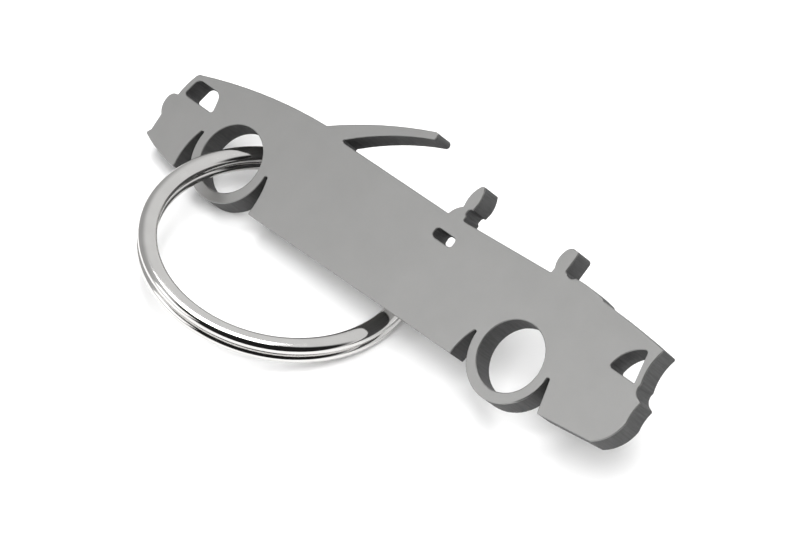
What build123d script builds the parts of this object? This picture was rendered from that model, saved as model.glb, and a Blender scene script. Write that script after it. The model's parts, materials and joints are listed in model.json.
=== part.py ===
from build123d import *

import os
from math import cos, pi, radians

# Keychain bottle opener: a flat steel plate cut as a generic open-top car, and the split ring
# threaded through its front wheel. Millimetres. The plate is drawn in its own plane, with the
# centre of the front wheel hole as origin, X towards the tail and Y towards the roof, and is
# set down afterwards: it leans on the ring, which props it up.

# ---- driving dimensions -------------------------------------------------------------------
plate_thickness = 3.0
edge_round = 0.12               # tumbled edges, where the faces meet the cut walls
corner_round = 0.15             # least radius of any corner in the cut shape

wheelbase = 44.35               # front to rear wheel hole
wheel_hole_r = 3.95
wheel_rim_r = 5.2
rear_wheel = (wheelbase, 0.0)
pillar_tip = (20.7, 14.0)       # end of the hook that lifts the cap

beltline_y = 8.3                # waist of the body at the hook mouth
sill_front_y = -3.9
sill_rear_y = -3.35

ring_coil_r = 14.27             # centreline of the wire's turns
wire_width = 2.1                # across the ring's plane
wire_height = 1.17              # along the ring's axis, for one turn
wire_round = 0.5                # the wire is rolled flat, so its sides stay round
turn_pitch = 1.22               # one turn above the other
step_angle = 57.0               # where the wire steps from one turn to the other
step_half_angle = 20.0          # half of that stretch
step_sections = 8

# ---- how the ring sits in the wheel hole --------------------------------------------------
ring_heading = -16.2            # line through the hole that the ring swings about
ring_lift = 43.7                # between the ring's plane and the plate
ring_lean = -8.9                # the ring's centre, off that line, within the ring's plane
ring_offset_axial = 0.21        # the wire's middle, off the hole's middle
ring_offset_radial = -0.45

# ---- how the two lie on a table -----------------------------------------------------------
plate_lean = 37.2               # the roof edge is up, the sill edge is down
tail_rise = 3.9                 # the tail is a little higher than the nose


def round_corner(face, corner, radius):
    """Round the corner of a flat face that lies nearest to a given point."""
    target = Vector(corner[0], corner[1], 0)
    nearest = min(face.vertices(), key=lambda vertex: (Vector(*vertex) - target).length)
    return fillet(nearest, radius)


def turn_at(vertex, edges):
    """How far the outline turns at a vertex, in degrees."""
    here = Vector(*vertex)
    leaving = []
    for edge in edges:
        if (edge @ 0 - here).length < 0.001:
            leaving.append(edge % 0)
        elif (edge @ 1 - here).length < 0.001:
            leaving.append((edge % 1) * -1)
    if len(leaving) != 2:
        return 0.0
    return 180 - leaving[0].get_angle(leaving[1])


def round_sharp_corners(face, radius, least_turn=4.0):
    """Round every corner that is still sharp, as the tumbled plate has none."""
    edges = face.edges()
    sharp = [tuple(vertex) for vertex in face.vertices() if turn_at(vertex, edges) > least_turn]
    for corner in sharp:
        face = round_corner(face, corner, radius)
    return face


def rounded_polygon(corners, radii):
    """A closed polygon whose corners each have their own radius."""
    face = make_face(Polyline(*corners, close=True))
    for corner, radius in zip(corners, radii):
        face = round_corner(face, corner, radius)
    return face


def nose_lines():
    """Bumper and grille, from the lower lip up to the bonnet."""
    lip = (-11.85, -3.0)
    bumper_foot = (-11.55, -0.4)
    bumper_top = (-11.2, 2.35)
    bonnet_front = (-10.45, 5.5)
    return [
        Line(lip, (-11.45, -2.4)),
        Line((-11.45, -2.4), bumper_foot),
        Spline(bumper_foot, (-12.1, 0.35), (-12.25, 1.2), (-12.0, 2.05), bumper_top),
        ThreePointArc(bumper_top, (-10.95, 4.1), bonnet_front),
    ]


def bonnet_and_hook_lines():
    """Bonnet, then the windscreen pillar: a bar that curves back over the mouth of the opener."""
    bonnet_front = (-10.45, 5.5)
    pillar_foot = (8.0, 8.8)
    pillar_top = (20.3, 14.8)
    mouth_apex = (10.65, beltline_y)
    return [
        ThreePointArc(bonnet_front, (-2.0, 7.65), pillar_foot),
        ThreePointArc(pillar_foot, (13.9, 12.15), pillar_top),
        ThreePointArc(pillar_top, (20.85, 14.4), pillar_tip),
        ThreePointArc(pillar_tip, (15.2, 11.45), mouth_apex),
    ]


def front_seat_lines():
    """Waist up to the first seat: shoulder, headrest and the notch behind its stem."""
    seat_foot = (27.65, 8.45)
    shoulder = (28.75, 9.9)
    rest_top = (29.65, 12.85)
    rest_back = (30.05, 10.1)
    notch_top = (29.6, 9.85)
    notch_foot = (29.8, 9.15)
    return [
        Line((10.65, beltline_y), seat_foot),
        ThreePointArc(seat_foot, (28.1, 9.35), shoulder),
        ThreePointArc(shoulder, (28.65, 11.4), (29.1, 12.6)),
        ThreePointArc((29.1, 12.6), (29.35, 12.8), rest_top),
        ThreePointArc(rest_top, (30.15, 11.6), rest_back),
        ThreePointArc(rest_back, (29.75, 10.05), notch_top),
        Line(notch_top, (29.55, 9.4)),
        Line((29.55, 9.4), notch_foot),
        Line(notch_foot, (29.8, 8.65)),
    ]


def rear_seat_lines():
    """Waist between the seats, then the second headrest."""
    waist_end = (42.45, 9.4)
    rest_foot = (42.5, 10.0)
    rest_top = (42.9, 12.6)
    rest_back = (43.95, 10.35)
    return [
        Line((29.8, 8.65), waist_end),
        Line(waist_end, rest_foot),
        ThreePointArc(rest_foot, (42.2, 11.2), (42.45, 12.2)),
        ThreePointArc((42.45, 12.2), (42.9, 12.65), (43.5, 12.7)),
        ThreePointArc((43.5, 12.7), (43.85, 12.6), (44.0, 12.2)),
        Line((44.0, 12.2), rest_back),
        ThreePointArc(rest_back, (44.35, 10.05), (45.4, 10.35)),
    ]


def boot_and_tail_lines():
    """Folded-roof cover, boot lid with its small step, tail panel and rear bumper."""
    lid_front = (49.7, 10.0)
    tail_corner = (59.1, 9.3)
    bumper_top = (60.4, 3.6)
    bumper_line = (60.4, 1.2)
    tail_foot = (58.15, -2.4)
    return [
        ThreePointArc((45.4, 10.35), (47.4, 10.38), (49.4, 10.15)),
        Line((49.4, 10.15), lid_front),
        ThreePointArc(lid_front, (54.4, 9.75), tail_corner),
        ThreePointArc(tail_corner, (58.8, 7.7), (59.2, 5.2)),
        ThreePointArc((59.2, 5.2), (59.35, 4.2), (59.75, 3.85)),
        Line((59.75, 3.85), bumper_top),
        ThreePointArc(bumper_top, (60.25, 2.4), bumper_line),
        ThreePointArc(bumper_line, (59.75, -0.8), tail_foot),
        Line(tail_foot, (47.0, -3.73)),
    ]


def underside_lines():
    """Rear foot, sill, and the lower edge of the nose."""
    return [
        Line((47.0, -3.73), (42.0, sill_rear_y)),
        Line((42.0, sill_rear_y), (3.0, sill_front_y)),
        Line((3.0, sill_front_y), (-4.0, -4.3)),
        ThreePointArc((-4.0, -4.3), (-9.2, -3.85), (-11.85, -3.0)),
    ]


def wheel_gap(wheel, side, apex_height, foot_out):
    """Wedge-shaped gap between a wheel rim and its arch, open at the lower edge."""
    apex = (wheel[0] + side * 5.5, wheel[1] + apex_height)
    foot = (wheel[0] + side * foot_out, wheel[1] - 3.9)
    middle = (wheel[0] + side * 6.03, wheel[1] - 1.35)
    below = wheel[1] - 8.0
    outline = [
        ThreePointArc(apex, middle, foot),
        Line(foot, (foot[0], below)),
        Line((foot[0], below), (wheel[0], below)),
        Line((wheel[0], below), (wheel[0], apex[1])),
        Line((wheel[0], apex[1]), apex),
    ]
    return round_corner(make_face(outline), apex, 0.16)


def headlamp_hole():
    corners = [(-10.45, 2.85), (-9.95, 5.1), (-6.35, 5.1), (-5.75, 2.8)]
    return rounded_polygon(corners, [0.3, 0.75, 1.05, 0.35])


def tail_lamp_hole():
    foot = (54.85, 4.9)
    heel = (58.4, 4.9)
    peak = (57.55, 8.45)
    outline = [
        ThreePointArc(foot, (55.75, 7.2), peak),
        Line(peak, heel),
        Line(heel, foot),
    ]
    face = make_face(outline)
    for corner, radius in ((foot, 0.3), (peak, 0.3), (heel, 0.12)):
        face = round_corner(face, corner, radius)
    return face


def plate_outline():
    """The whole cut shape: body, wheel gaps, rims and every hole."""
    lines = nose_lines() + bonnet_and_hook_lines() + front_seat_lines()
    lines += rear_seat_lines() + boot_and_tail_lines() + underside_lines()
    shape = make_face(lines)
    for corner, radius in (
        ((-11.85, -3.0), 0.2),
        ((-10.45, 5.5), 0.7),
        ((10.65, beltline_y), 0.2),
        ((59.1, 9.3), 0.2),
        ((60.4, 3.6), 0.2),
        ((58.15, -2.4), 0.5),
    ):
        shape = round_corner(shape, corner, radius)

    front_wheel = (0.0, 0.0)
    shape -= wheel_gap(front_wheel, -1, 0.7, 5.95)
    shape -= wheel_gap(front_wheel, 1, 0.6, 6.15)
    shape -= wheel_gap(rear_wheel, -1, 0.1, 6.3)
    shape -= wheel_gap(rear_wheel, 1, 0.4, 6.8)
    for wheel in (front_wheel, rear_wheel):
        shape += Pos(*wheel) * Circle(wheel_rim_r)
        shape -= Pos(*wheel) * Circle(wheel_hole_r)

    handle = Pos(29.0, 6.1) * RectangleRounded(2.9, 1.15, 0.42)
    shape -= handle
    shape -= headlamp_hole()
    shape -= tail_lamp_hole()
    return round_sharp_corners(shape, corner_round)


def build_plate():
    """The cut plate, middle of its thickness at Z 0, with its front and back edges rounded."""
    blank = extrude(plate_outline(), plate_thickness / 2, both=True)
    faces = blank.faces().sort_by(Axis.Z)
    rims = faces[0].edges() + faces[-1].edges()
    return fillet(rims, edge_round)


def wire_section(angle, height):
    """The wire's section, standing across the ring at an angle and height."""
    outward = Vector(1, 0, 0).rotate(Axis.Z, angle)
    along = Vector(0, 1, 0).rotate(Axis.Z, angle)
    centre = outward * ring_coil_r + Vector(0, 0, height)
    section = RectangleRounded(wire_width, wire_height, wire_round)
    return Plane(origin=centre, x_dir=outward, z_dir=along) * section


def build_ring():
    """Two flat turns of one wire, joined by a short rise, centred on the ring's own axis."""
    upper = turn_pitch / 2
    turn = 360 - 2 * step_half_angle
    after_step = step_angle + step_half_angle
    upper_turn = revolve(wire_section(after_step, upper), Axis.Z, turn)
    lower_turn = revolve(wire_section(after_step, -upper), Axis.Z, turn)

    sections = []
    for index in range(step_sections + 1):
        part_way = index / step_sections
        angle = step_angle + step_half_angle * (2 * part_way - 1)
        sections.append(wire_section(angle, -upper * cos(pi * part_way)))
    step = loft(sections)
    return upper_turn + step + lower_turn


def main():
    os.makedirs("parts", exist_ok=True)
    on_table = Rot(0, -tail_rise, 0) * Rot(plate_lean, 0, 0)
    in_hole = Rot(0, 0, ring_heading) * Rot(-ring_lift, 0, 0) * Rot(0, 0, ring_lean)
    in_hole *= Pos(ring_coil_r + ring_offset_radial, 0, ring_offset_axial)

    plate = on_table * build_plate()
    ring = on_table * in_hole * build_ring()

    # The origin is the middle of the bounding box's base, on the table.
    box = Compound([plate, ring]).bounding_box()
    to_origin = Pos(-box.center().X, -box.center().Y, -box.min.Z)
    parts = {"opener_plate": to_origin * plate, "split_ring": to_origin * ring}
    for name, solid in parts.items():
        solid.label = name
        export_step(solid, f"parts/{name}.step")

    # Places and directions that the record states, in metres.
    frame = to_origin * on_table
    swing = frame * Rot(0, 0, ring_heading)
    loop = frame * in_hole
    places = {
        "front wheel hole": frame * Pos(0, 0, 0),
        "rear wheel hole": frame * Pos(*rear_wheel, 0),
        "hook tip": frame * Pos(*pillar_tip, 0),
        "middle of the key ring": loop,
    }
    directions = {
        "plate normal": Plane(frame).z_dir,
        "hook, towards the cap": Plane(frame).y_dir * -1,
        "swing axis": Plane(swing).x_dir * -1,
        "key ring axis": Plane(loop).z_dir,
    }
    for name, place in places.items():
        print(name, [round(value / 1000, 6) for value in place.position])
    for name, direction in directions.items():
        print(name, [round(value, 6) for value in direction])
    print("size", box.size)
    print("plate volume", plate.volume, "ring volume", ring.volume)
    print("wire section times length", section_area() * wire_length())


def section_area():
    return RectangleRounded(wire_width, wire_height, wire_round).area


def wire_length():
    return ring_coil_r * radians(720 - 2 * step_half_angle)


main()
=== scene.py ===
import json
from math import copysign, cos, pi, radians, sin

import bpy
from mathutils import Matrix, Vector


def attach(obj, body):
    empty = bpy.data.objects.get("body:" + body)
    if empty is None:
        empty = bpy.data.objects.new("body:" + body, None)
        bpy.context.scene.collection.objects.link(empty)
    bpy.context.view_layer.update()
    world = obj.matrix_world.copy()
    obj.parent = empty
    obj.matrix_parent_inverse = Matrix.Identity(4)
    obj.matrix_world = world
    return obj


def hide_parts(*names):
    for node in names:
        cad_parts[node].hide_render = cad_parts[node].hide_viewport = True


# A keychain bottle opener: a satin steel plate cut as a generic open-top car, and the polished
# split ring through its front wheel. Metres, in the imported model's own frame.

# ---- camera: a long lens, looking down at the plate's face ----------------------------------
CAMERA_TARGET = Vector((0.00241, 0.00375, 0.00790))
CAMERA_AZIMUTH = radians(47.01)
CAMERA_ELEVATION = radians(43.36)
CAMERA_ROLL = radians(1.56)
CAMERA_DISTANCE = 0.4579
CAMERA_LENS = 196.7
CAMERA_CLIP = (0.01, 20.0)

# ---- room ----------------------------------------------------------------------------------
FLOOR_HALF = 3.0
FLOOR_COLOUR = (0.93, 0.93, 0.93, 1)
FLOOR_ROUGHNESS = 0.9
FLOOR_SPECULAR = 0.1
TENT_COLOUR = (1, 1, 1, 1)
TENT_LIGHT = 0.86

# ---- split ring: one wire, two turns and the step between them ------------------------------
COIL_RADIUS = 0.01427
WIRE_HALF_WIDTH = 0.00105
WIRE_HALF_HEIGHT = 0.000585
WIRE_SQUARENESS = 2.3           # exponent of the wire's rounded section
TURN_PITCH = 0.00122
STEP_START = radians(37)
STEP_END = radians(77)
WIRE_END_ROUND = 0.00018
END_STEPS = 6                   # sections that round off each end of the wire
POINTS_ROUND_WIRE = 48
SECTIONS_PER_TURN = 480

# ---- steel ---------------------------------------------------------------------------------
FACE_COLOUR = (0.41, 0.408, 0.402, 1)
FACE_DULL = 0.96                # the face's duller clouds, as a share of its colour
FACE_ROUGHNESS = (0.40, 0.47)
EDGE_COLOUR = (0.30, 0.30, 0.295, 1)
WALL_COLOUR = (0.10, 0.10, 0.10, 1)
WALL_DULL = 0.75                # the walls' darker cutting lines
WALL_EXTRA_ROUGHNESS = 0.32
WALL_METALLIC = 0.5
WIRE_COLOUR = (0.68, 0.672, 0.66, 1)
WIRE_DULL_COLOUR = (0.64, 0.632, 0.62, 1)
WIRE_ROUGHNESS = (0.05, 0.11)
WIRE_LINES_ROUGHNESS = 0.05
NOISE_SPREAD = (0.3, 0.7)       # where most of a noise's values lie

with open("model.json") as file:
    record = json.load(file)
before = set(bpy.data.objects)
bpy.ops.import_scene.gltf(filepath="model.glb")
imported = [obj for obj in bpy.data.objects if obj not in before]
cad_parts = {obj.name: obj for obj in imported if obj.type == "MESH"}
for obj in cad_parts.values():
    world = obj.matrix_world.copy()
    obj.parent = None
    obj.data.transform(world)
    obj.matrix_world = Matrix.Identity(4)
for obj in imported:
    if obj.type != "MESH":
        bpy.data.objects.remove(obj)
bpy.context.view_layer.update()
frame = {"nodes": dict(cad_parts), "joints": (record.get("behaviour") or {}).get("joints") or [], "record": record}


def mount(name):
    """A mount's place and direction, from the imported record."""
    found = next(m for m in frame["record"]["mounts"] if m["name"] == name)
    return Vector(found["pos_m"]), Vector(found["axis"])


def joint(name):
    """A joint's place and axis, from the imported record."""
    found = next(j for j in frame["joints"] if j["name"] == name)
    return Vector(found["pos_m"]), Vector(found["axis"])


def axes_at(origin, x_axis, y_axis, z_axis):
    """The matrix of a set of axes at a place."""
    return Matrix.Translation(origin) @ Matrix((x_axis, y_axis, z_axis)).transposed().to_4x4()


def plate_frame():
    """The plate's own axes: X nose to tail, Y sill to roof, Z out of its front face."""
    front_wheel = joint("ring_swing")[0]
    rear_wheel, outward = mount("rear_wheel_hole")
    along = (rear_wheel - front_wheel).normalized()
    up = outward.cross(along).normalized()
    return axes_at(front_wheel, along, up, outward.normalized())


def ring_frame():
    """The ring's own axes: Z along its axis, X from the wheel hole towards its middle."""
    middle, axis = mount("key_ring")
    axis.normalize()
    out = middle - joint("ring_swing")[0]
    out = (out - axis * out.dot(axis)).normalized()
    return axes_at(middle, out, axis.cross(out), axis)


def towards(azimuth, elevation):
    """Unit direction from the object to a place round it. Azimuth 0 is straight in front, -Y."""
    return Vector((
        sin(azimuth) * cos(elevation),
        -cos(azimuth) * cos(elevation),
        sin(elevation),
    ))


def add_object(name, data):
    """A new object in the scene."""
    added = bpy.data.objects.new(name, data)
    bpy.context.scene.collection.objects.link(added)
    return added


# ---- materials -----------------------------------------------------------------------------
class NodeGraph:
    """A small helper that adds shader nodes to a material or world, and links them."""

    def __init__(self, owner):
        owner.use_nodes = True
        self.nodes = owner.node_tree.nodes
        self.links = owner.node_tree.links
        self.shader = self.nodes.get("Principled BSDF")

    def fill(self, socket, value):
        """Link a socket to another node's output, or set it to a constant."""
        if isinstance(value, bpy.types.NodeSocket):
            self.links.new(value, socket)
        else:
            socket.default_value = value

    def surface(self, name, value):
        """Fill one of the shader's own sockets."""
        self.fill(self.shader.inputs[name], value)

    def math(self, operation, first, second=0.5):
        node = self.nodes.new("ShaderNodeMath")
        node.operation = operation
        self.fill(node.inputs[0], first)
        self.fill(node.inputs[1], second)
        return node.outputs["Value"]

    def vector(self, operation, first, second):
        node = self.nodes.new("ShaderNodeVectorMath")
        node.operation = operation
        self.fill(node.inputs[0], first)
        self.fill(node.inputs[1], second)
        name = "Value" if operation == "DOT_PRODUCT" else "Vector"
        return node.outputs[name]

    def coordinates(self, name):
        return self.nodes.new("ShaderNodeTexCoord").outputs[name]

    def in_frame(self, axes):
        """Object coordinates, measured along a set of axes."""
        mapping = self.nodes.new("ShaderNodeMapping")
        mapping.vector_type = "TEXTURE"
        mapping.inputs["Location"].default_value = axes.translation
        mapping.inputs["Rotation"].default_value = axes.to_euler("XYZ")
        self.fill(mapping.inputs["Vector"], self.coordinates("Object"))
        return mapping.outputs["Vector"]

    def along_wire(self, vector):
        """Coordinates across the wire of a ring, hardly changing along it."""
        parts = self.nodes.new("ShaderNodeSeparateXYZ")
        self.fill(parts.inputs[0], vector)
        x, y, z = parts.outputs
        square = self.math("ADD", self.math("MULTIPLY", x, x), self.math("MULTIPLY", y, y))
        joined = self.nodes.new("ShaderNodeCombineXYZ")
        self.fill(joined.inputs[0], self.math("SQRT", square))
        self.fill(joined.inputs[1], z)
        metres_per_radian = 0.0004
        turned = self.math("MULTIPLY", self.math("ARCTAN2", y, x), metres_per_radian)
        self.fill(joined.inputs[2], turned)
        return joined.outputs[0]

    def noise(self, vector, scale, detail=2.0, roughness=0.5):
        node = self.nodes.new("ShaderNodeTexNoise")
        self.fill(node.inputs["Vector"], vector)
        self.fill(node.inputs["Scale"], scale)
        self.fill(node.inputs["Detail"], detail)
        self.fill(node.inputs["Roughness"], roughness)
        return node.outputs["Fac"]

    def range(self, value, low, high, to_low=0.0, to_high=1.0, smooth=False):
        node = self.nodes.new("ShaderNodeMapRange")
        node.interpolation_type = "SMOOTHSTEP" if smooth else "LINEAR"
        for name, number in (
            ("Value", value), ("From Min", low), ("From Max", high),
            ("To Min", to_low), ("To Max", to_high),
        ):
            self.fill(node.inputs[name], number)
        return node.outputs["Result"]

    def mix(self, factor, first, second):
        node = self.nodes.new("ShaderNodeMix")
        node.data_type = "RGBA"
        self.fill(node.inputs["Factor"], factor)
        self.fill(node.inputs["A"], first)
        self.fill(node.inputs["B"], second)
        return node.outputs["Result"]

    def bump(self, height, strength, distance, normal=None):
        node = self.nodes.new("ShaderNodeBump")
        self.fill(node.inputs["Strength"], strength)
        self.fill(node.inputs["Distance"], distance)
        self.fill(node.inputs["Height"], height)
        if normal is not None:
            self.fill(node.inputs["Normal"], normal)
        return node.outputs["Normal"]


def dulled(colour, share):
    return tuple(share * part for part in colour)


def satin_steel(axes):
    """Fine blasted faces, and dark cut walls with fine upright cutting lines."""
    material = bpy.data.materials.new("satin_steel")
    graph = NodeGraph(material)
    place = graph.in_frame(axes)
    outward = axes.to_3x3() @ Vector((0, 0, 1))
    facing = graph.vector("DOT_PRODUCT", graph.coordinates("Normal"), outward)
    facing = graph.math("ABSOLUTE", facing)
    is_face = graph.range(facing, 0.95, 0.995, smooth=True)
    is_wall = graph.range(facing, 0.35, 0.10, smooth=True)

    clouds = graph.noise(place, scale=300.0, detail=3.0)
    grain = graph.noise(place, scale=9000.0, roughness=0.6)
    stretched = graph.vector("MULTIPLY", place, (1.0, 1.0, 0.06))
    cut_lines = graph.noise(stretched, scale=5200.0, detail=3.0, roughness=0.6)

    cloudy = graph.range(clouds, *NOISE_SPREAD)
    face = graph.mix(cloudy, dulled(FACE_COLOUR, FACE_DULL), FACE_COLOUR)
    lined = graph.range(cut_lines, 0.35, 0.65)
    wall = graph.mix(lined, dulled(WALL_COLOUR, WALL_DULL), WALL_COLOUR)
    colour = graph.mix(is_face, EDGE_COLOUR, face)
    graph.surface("Base Color", graph.mix(is_wall, colour, wall))

    rough = graph.range(grain, *NOISE_SPREAD, *FACE_ROUGHNESS)
    more = graph.math("MULTIPLY", is_wall, WALL_EXTRA_ROUGHNESS)
    graph.surface("Roughness", graph.math("ADD", rough, more))
    graph.surface("Metallic", graph.range(is_wall, 0.0, 1.0, 1.0, WALL_METALLIC))

    lines_height = graph.math("MULTIPLY", cut_lines, is_wall)
    normal = graph.bump(grain, strength=0.25, distance=0.00001)
    normal = graph.bump(lines_height, strength=0.5, distance=0.00003, normal=normal)
    graph.surface("Normal", normal)
    return material


def polished_steel(axes):
    """Polished spring wire: almost a mirror, with fine drawn lines along it and faint smudges."""
    material = bpy.data.materials.new("polished_steel")
    graph = NodeGraph(material)
    place = graph.in_frame(axes)
    drawn = graph.noise(graph.along_wire(place), scale=9000.0, roughness=0.6)
    smudges = graph.noise(place, scale=350.0, detail=3.0)

    tone = graph.mix(graph.range(smudges, *NOISE_SPREAD), WIRE_DULL_COLOUR, WIRE_COLOUR)
    graph.surface("Base Color", tone)
    rough = graph.range(smudges, *NOISE_SPREAD, *WIRE_ROUGHNESS)
    more = graph.range(drawn, 0.4, 0.7, 0.0, WIRE_LINES_ROUGHNESS)
    graph.surface("Roughness", graph.math("ADD", rough, more))
    graph.surface("Metallic", 1.0)
    graph.surface("Normal", graph.bump(drawn, strength=0.12, distance=0.000004))
    return material


def give_material(node, material):
    for slot in frame["nodes"][node].material_slots:
        slot.material = material


# ---- the split ring's wire ------------------------------------------------------------------
def wire_section():
    """Points round the wire, as (outward, along the ring's axis): a rounded oblong."""
    power = 2 / WIRE_SQUARENESS
    points = []
    for index in range(POINTS_ROUND_WIRE):
        angle = 2 * pi * index / POINTS_ROUND_WIRE
        across, up = cos(angle), sin(angle)
        points.append((
            copysign(abs(across) ** power, across) * WIRE_HALF_WIDTH,
            copysign(abs(up) ** power, up) * WIRE_HALF_HEIGHT,
        ))
    return points


def wire_height(angle):
    """Height of the wire's middle above the ring's own plane: low, then high after the step."""
    start = 2 * pi + STEP_START
    end = 2 * pi + STEP_END
    share = min(max((angle - start) / (end - start), 0.0), 1.0)
    return -TURN_PITCH / 2 * cos(pi * share)


def end_rounding():
    """(distance from the tip, inset) of the sections that round off an end of the wire."""
    angles = [radians(90 * step / END_STEPS) for step in range(1, END_STEPS)]
    return [(WIRE_END_ROUND * (1 - cos(a)), WIRE_END_ROUND * (1 - sin(a))) for a in angles]


def wire_stations():
    """(angle, inset) of the sections along the wire, closer together at its rounded ends."""
    first = STEP_END
    last = 4 * pi + STEP_START
    start = first + WIRE_END_ROUND / COIL_RADIUS
    end = last - WIRE_END_ROUND / COIL_RADIUS
    count = round(SECTIONS_PER_TURN * (end - start) / (2 * pi))
    tip = end_rounding()
    stations = [(first + along / COIL_RADIUS, inset) for along, inset in tip]
    stations += [(start + (end - start) * index / count, 0.0) for index in range(count + 1)]
    stations += [(last - along / COIL_RADIUS, inset) for along, inset in reversed(tip)]
    return stations


def tube_faces(rows, size):
    """Quads between rows of points round a tube, and a cap at each end."""
    faces = []
    for row in range(rows - 1):
        for index in range(size):
            after = (index + 1) % size
            faces.append((
                row * size + index, (row + 1) * size + index,
                (row + 1) * size + after, row * size + after,
            ))
    faces.append(tuple(range(size)))
    faces.append(tuple(reversed(range((rows - 1) * size, rows * size))))
    return faces


def make_ring(axes, material):
    """The wire as one clean closed mesh, in place of the plain CAD solid."""
    section = wire_section()
    stations = wire_stations()
    vertices = []
    for angle, inset in stations:
        narrow = 1 - inset / WIRE_HALF_WIDTH
        low = 1 - inset / WIRE_HALF_HEIGHT
        height = wire_height(angle)
        for across, up in section:
            radius = COIL_RADIUS + across * narrow
            vertices.append(axes @ Vector((
                radius * cos(angle), radius * sin(angle), height + up * low,
            )))
    mesh = bpy.data.meshes.new("key_ring_wire")
    mesh.from_pydata(vertices, [], tube_faces(len(stations), len(section)))
    mesh.polygons.foreach_set("use_smooth", [True] * len(mesh.polygons))
    mesh.materials.append(material)
    ring = add_object("key_ring_wire", mesh)
    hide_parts("split_ring")
    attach(ring, "ring")


# ---- floor, camera and light -----------------------------------------------------------------
def make_floor():
    half = FLOOR_HALF
    corners = [(-half, -half, 0), (half, -half, 0), (half, half, 0), (-half, half, 0)]
    mesh = bpy.data.meshes.new("floor")
    mesh.from_pydata(corners, [], [(0, 1, 2, 3)])
    material = bpy.data.materials.new("floor_paper")
    graph = NodeGraph(material)
    graph.surface("Base Color", FLOOR_COLOUR)
    graph.surface("Roughness", FLOOR_ROUGHNESS)
    graph.surface("Specular IOR Level", FLOOR_SPECULAR)
    mesh.materials.append(material)
    add_object("floor", mesh)


def looking_back(azimuth, elevation, target, distance):
    """A place round the object, turned so that a camera or lamp there looks at the target."""
    back = towards(azimuth, elevation)
    turn = back.to_track_quat("Z", "Y").to_matrix().to_4x4()
    return Matrix.Translation(target + back * distance) @ turn


def make_camera():
    data = bpy.data.cameras.new("camera")
    data.lens = CAMERA_LENS
    data.clip_start, data.clip_end = CAMERA_CLIP
    camera = add_object("camera", data)
    level = looking_back(CAMERA_AZIMUTH, CAMERA_ELEVATION, CAMERA_TARGET, CAMERA_DISTANCE)
    camera.matrix_world = level @ Matrix.Rotation(CAMERA_ROLL, 4, "Z")
    bpy.context.scene.camera = camera


def softbox(name, azimuth, elevation, distance, size, power):
    """A square area light that looks at the object."""
    data = bpy.data.lights.new(name, "AREA")
    data.size = size
    data.energy = power
    lamp = add_object(name, data)
    middle = Vector((0, 0, 0))
    lamp.matrix_world = looking_back(radians(azimuth), radians(elevation), middle, distance)
    return lamp


def make_tent():
    """A pale tent all round, dark where the camera looks in and dim at its left."""
    world = bpy.data.worlds.new("tent")
    bpy.context.scene.world = world
    graph = NodeGraph(world)
    direction = graph.coordinates("Generated")

    def patch(azimuth, elevation, inner, outer, level):
        """A factor for the tent's light: a level within a cone, rising to 1 outside it."""
        middle = towards(radians(azimuth), radians(elevation))
        close = graph.vector("DOT_PRODUCT", direction, middle)
        limits = cos(radians(outer)), cos(radians(inner))
        return graph.range(close, *limits, 1.0, level, smooth=True)

    opening = patch(azimuth=47, elevation=49, inner=46, outer=57, level=0.02)
    dim_side = patch(azimuth=272, elevation=20, inner=22, outer=52, level=0.55)
    strength = graph.math("MULTIPLY", graph.math("MULTIPLY", opening, dim_side), TENT_LIGHT)
    background = graph.nodes["Background"]
    graph.fill(background.inputs["Color"], TENT_COLOUR)
    graph.fill(background.inputs["Strength"], strength)


def make_lamps():
    """A box overhead and a card at the left for the steel, and a soft light for the table."""
    softbox("overhead_box", azimuth=227, elevation=72, distance=1.0, size=0.44, power=3.4)
    softbox("left_card", azimuth=330, elevation=36, distance=0.35, size=0.20, power=0.18)
    table_light = softbox(
        "table_light", azimuth=47, elevation=63, distance=1.2, size=1.0, power=17.0,
    )
    table_light.visible_glossy = False


make_camera()
make_floor()
make_tent()
make_lamps()
bpy.context.scene.view_settings.view_transform = "Standard"

plate_axes = plate_frame()
give_material("opener_plate", satin_steel(plate_axes))
ring_axes = ring_frame()
make_ring(ring_axes, polished_steel(ring_axes))
